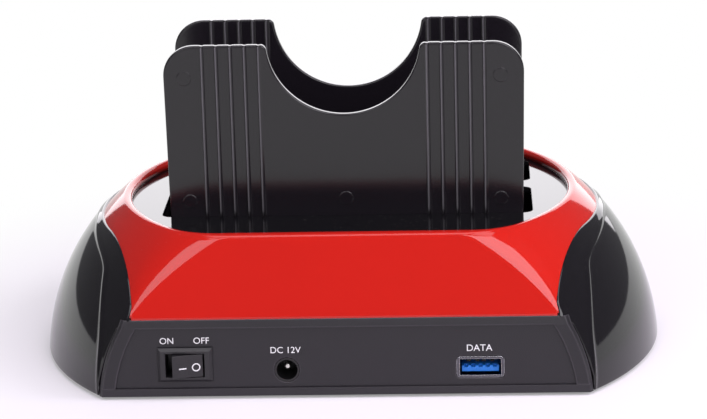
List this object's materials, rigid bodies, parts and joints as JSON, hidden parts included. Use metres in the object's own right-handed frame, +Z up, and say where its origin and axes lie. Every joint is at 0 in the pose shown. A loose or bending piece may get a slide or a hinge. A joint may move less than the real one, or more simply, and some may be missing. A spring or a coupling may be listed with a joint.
{
  "type": "hard drive docking station",
  "caption": "Desktop dock that holds bare hard drives upright in open bays behind ribbed guide plates, with a rocker switch, power jack and data socket.",
  "frame": {"origin": "on the ground under the middle of the footprint", "axes": "+Z up; the face with the ports looks along -Y; +X is to the right of a viewer of the ports"},
  "size_m": [0.1948, 0.13, 0.1003],
  "materials": {
    "matt_black_plastic": "fine moulded grain",
    "satin_black_plastic": "satin moulded plastic",
    "black_gloss_plastic": "piano gloss",
    "red_gloss_plastic": "metallic red under clear gloss",
    "black_rubber": "matt",
    "circuit_board": "green solder mask",
    "chip_plastic": "moulded epoxy",
    "capacitor_metal": "drawn can",
    "gold_contacts": "gold plated",
    "tinned_metal": "tin or nickel plated",
    "socket_plastic": "moulded nylon",
    "blue_plastic": "moulded, slightly glossy",
    "clear_plastic": "clear moulded",
    "screw_steel": "zinc plated"
  },
  "bodies": {
    "root": {"bottom_cover": "matt_black_plastic", "rubber_feet": "black_rubber", "lower_housing": "matt_black_plastic", "upper_shell": "red_gloss_plastic", "right_side_cap": "black_gloss_plastic", "left_side_cap": "black_gloss_plastic", "top_deck": "black_gloss_plastic", "main_board": "circuit_board", "drive_connector_contacts": "gold_contacts", "board_chips": "chip_plastic", "board_capacitors": "capacitor_metal", "power_inductors": "chip_plastic", "switch_housing": "matt_black_plastic", "switch_terminals": "tinned_metal", "power_jack_body": "matt_black_plastic", "power_jack_pin": "tinned_metal", "power_jack_spring_contact": "tinned_metal", "data_socket_shell": "tinned_metal", "data_socket_tongue": "blue_plastic", "data_socket_contacts": "gold_contacts", "status_lamps": "clear_plastic", "light_pipes": "clear_plastic", "case_screws": "screw_steel", "board_screws": "screw_steel", "well_screws": "screw_steel", "plate_screws": "screw_steel", "rear_bay_well": "matt_black_plastic", "rear_guide_plate": "satin_black_plastic", "rear_flap_pin": "screw_steel", "rear_drive_connector": "socket_plastic", "front_bay_well": "matt_black_plastic", "front_guide_plate": "satin_black_plastic", "front_flap_pin": "screw_steel", "front_drive_connector": "socket_plastic"},
    "rocker": {"switch_rocker": "matt_black_plastic"},
    "rear_flap": {"rear_bay_flap": "matt_black_plastic", "rear_flap_springs": "screw_steel"},
    "front_flap": {"front_bay_flap": "matt_black_plastic", "front_flap_springs": "screw_steel"}
  },
  "joints": [
    {"name": "power_switch_tilt", "type": "hinge", "parent": "root", "child": "rocker", "pos_m": [-0.048, -0.06167, 0.01095], "axis": [0, 0, -1], "range_deg": [0, 28]},
    {"name": "rear_flap_hinge", "type": "hinge", "parent": "root", "child": "rear_flap", "pos_m": [0, 0.00685, 0.042], "axis": [1, 0, 0], "range_deg": [0, 88], "stiffness_Nm_per_rad": 0.002, "springref_deg": -57.3},
    {"name": "front_flap_hinge", "type": "hinge", "parent": "root", "child": "front_flap", "pos_m": [0, 0.04435, 0.042], "axis": [1, 0, 0], "range_deg": [0, 88], "stiffness_Nm_per_rad": 0.002, "springref_deg": -57.3}
  ]
}
